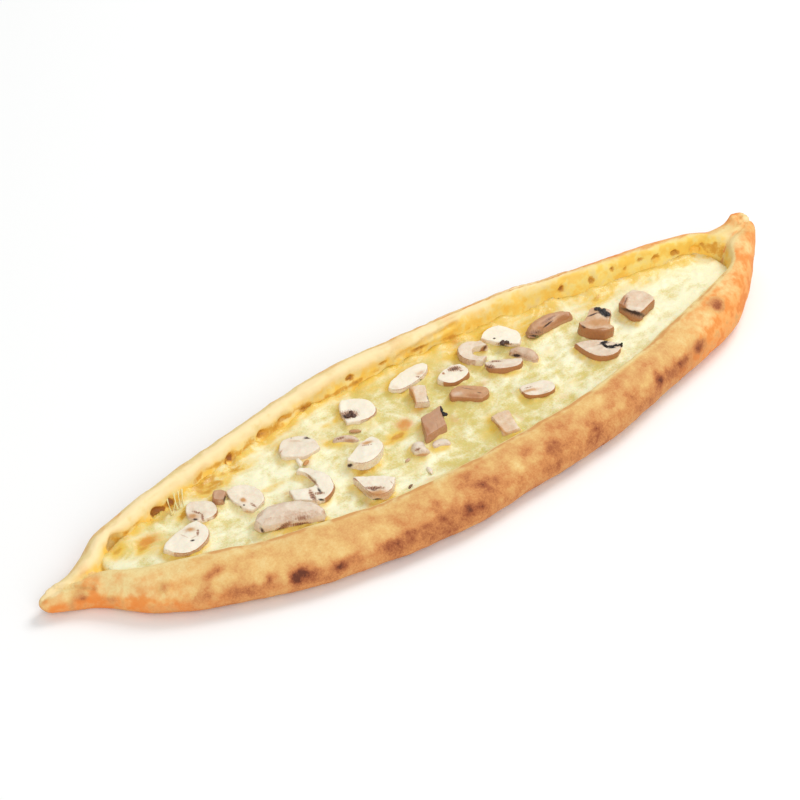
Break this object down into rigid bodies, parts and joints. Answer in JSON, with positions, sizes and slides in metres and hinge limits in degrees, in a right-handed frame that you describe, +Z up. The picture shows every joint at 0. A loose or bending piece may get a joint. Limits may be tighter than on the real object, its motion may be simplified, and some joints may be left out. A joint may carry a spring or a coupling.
{
  "type": "pide",
  "caption": "Long boat-shaped open flatbread with a rolled rim pinched at both ends, filled with melted cheese and topped with mushroom pieces.",
  "frame": {"origin": "middle of the bread's length and width, on its underside", "axes": "+X along the bread towards its upturned end, +Y across it, +Z up"},
  "size_m": [0.452, 0.1302, 0.035],
  "materials": {
    "baked_crust": "matt, browned",
    "melted_cheese": "soft gloss",
    "mushroom": "satin"
  },
  "bodies": {
    "root": {"cheese_filling": "melted_cheese", "crust": "baked_crust", "mushroom_bean_05": "mushroom", "mushroom_bean_22": "mushroom", "mushroom_bean_25": "mushroom", "mushroom_bit_08": "mushroom", "mushroom_bit_15": "mushroom", "mushroom_bit_16": "mushroom", "mushroom_block_14": "mushroom", "mushroom_chunk_03": "mushroom", "mushroom_chunk_18": "mushroom", "mushroom_chunk_28": "mushroom", "mushroom_curl_07": "mushroom", "mushroom_hook_19": "mushroom", "mushroom_slice_01": "mushroom", "mushroom_slice_02": "mushroom", "mushroom_slice_04": "mushroom", "mushroom_slice_06": "mushroom", "mushroom_slice_09": "mushroom", "mushroom_slice_10": "mushroom", "mushroom_slice_11": "mushroom", "mushroom_slice_12": "mushroom", "mushroom_slice_17": "mushroom", "mushroom_slice_20": "mushroom", "mushroom_slice_21": "mushroom", "mushroom_slice_24": "mushroom", "mushroom_slice_27": "mushroom", "mushroom_stem_13": "mushroom", "mushroom_stem_23": "mushroom", "mushroom_whole_26": "mushroom"}
  },
  "joints": []
}
